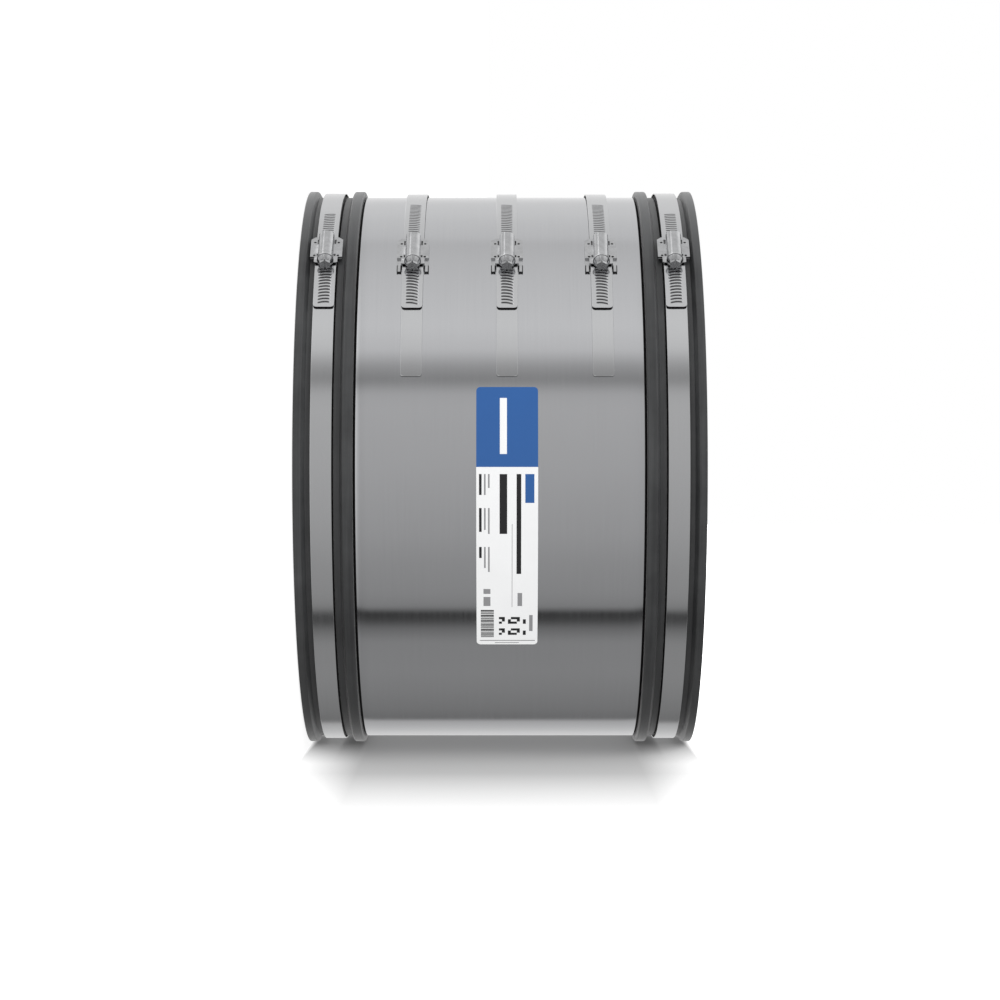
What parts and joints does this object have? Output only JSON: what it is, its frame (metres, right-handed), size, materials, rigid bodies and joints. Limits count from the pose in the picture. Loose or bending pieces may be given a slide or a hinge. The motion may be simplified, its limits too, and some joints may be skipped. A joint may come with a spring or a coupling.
{
  "type": "flexible pipe coupling",
  "caption": "Wide rubber sleeve coupling for large pipes, with a steel shear band round its middle, worm-drive clamps and ribbed sockets at both ends.",
  "frame": {"origin": "centre of the bore at the lower end face, on which the coupling stands", "axes": "+Z along the bore; the label's side faces -Y; the worm screws lie 47.5 degrees round from the front towards -X"},
  "size_m": [0.439, 0.4388, 0.3],
  "materials": {
    "rubber": "matt moulded rubber",
    "sheet_steel": "bright rolled stainless sheet",
    "band_steel": "bright stainless band",
    "housing_steel": "pressed stainless steel",
    "screw_steel": "turned stainless steel",
    "label": "printed film"
  },
  "bodies": {
    "coupling": {"rubber_sleeve": "rubber", "shear_band": "sheet_steel", "label": "label", "lower_center_grooved_strap": "band_steel", "lower_center_plain_strap": "band_steel", "lower_center_saddle": "housing_steel", "lower_center_housing": "housing_steel", "middle_center_grooved_strap": "band_steel", "middle_center_plain_strap": "band_steel", "middle_center_saddle": "housing_steel", "middle_center_housing": "housing_steel", "upper_center_grooved_strap": "band_steel", "upper_center_plain_strap": "band_steel", "upper_center_saddle": "housing_steel", "upper_center_housing": "housing_steel"},
    "lower_end_clamp": {"lower_end_band": "band_steel", "lower_end_saddle": "housing_steel", "lower_end_housing": "housing_steel"},
    "lower_end_worm": {"lower_end_screw": "screw_steel"},
    "upper_end_clamp": {"upper_end_band": "band_steel", "upper_end_saddle": "housing_steel", "upper_end_housing": "housing_steel"},
    "upper_end_worm": {"upper_end_screw": "screw_steel"},
    "lower_center_worm": {"lower_center_screw": "screw_steel"},
    "middle_center_worm": {"middle_center_screw": "screw_steel"},
    "upper_center_worm": {"upper_center_screw": "screw_steel"}
  },
  "joints": [
    {"name": "lower_end_clamp_turn", "type": "hinge", "parent": "coupling", "child": "lower_end_clamp", "pos_m": [0, 0, 0.0202], "axis": [0, 0, 1], "continuous": true},
    {"name": "lower_end_screw_turn", "type": "hinge", "parent": "lower_end_clamp", "child": "lower_end_worm", "pos_m": [-0.16497, -0.15116, 0.0202], "axis": [0.6756, -0.7373, 0], "continuous": true},
    {"name": "upper_end_clamp_turn", "type": "hinge", "parent": "coupling", "child": "upper_end_clamp", "pos_m": [0, 0, 0.2798], "axis": [0, 0, 1], "continuous": true},
    {"name": "upper_end_screw_turn", "type": "hinge", "parent": "upper_end_clamp", "child": "upper_end_worm", "pos_m": [-0.16497, -0.15116, 0.2798], "axis": [0.6756, -0.7373, 0], "continuous": true},
    {"name": "lower_center_screw_turn", "type": "hinge", "parent": "coupling", "child": "lower_center_worm", "pos_m": [-0.16404, -0.15032, 0.08506], "axis": [0.6756, -0.7373, 0], "continuous": true},
    {"name": "middle_center_screw_turn", "type": "hinge", "parent": "coupling", "child": "middle_center_worm", "pos_m": [-0.16404, -0.15032, 0.1552], "axis": [0.6756, -0.7373, 0], "continuous": true},
    {"name": "upper_center_screw_turn", "type": "hinge", "parent": "coupling", "child": "upper_center_worm", "pos_m": [-0.16404, -0.15032, 0.22534], "axis": [0.6756, -0.7373, 0], "continuous": true}
  ]
}
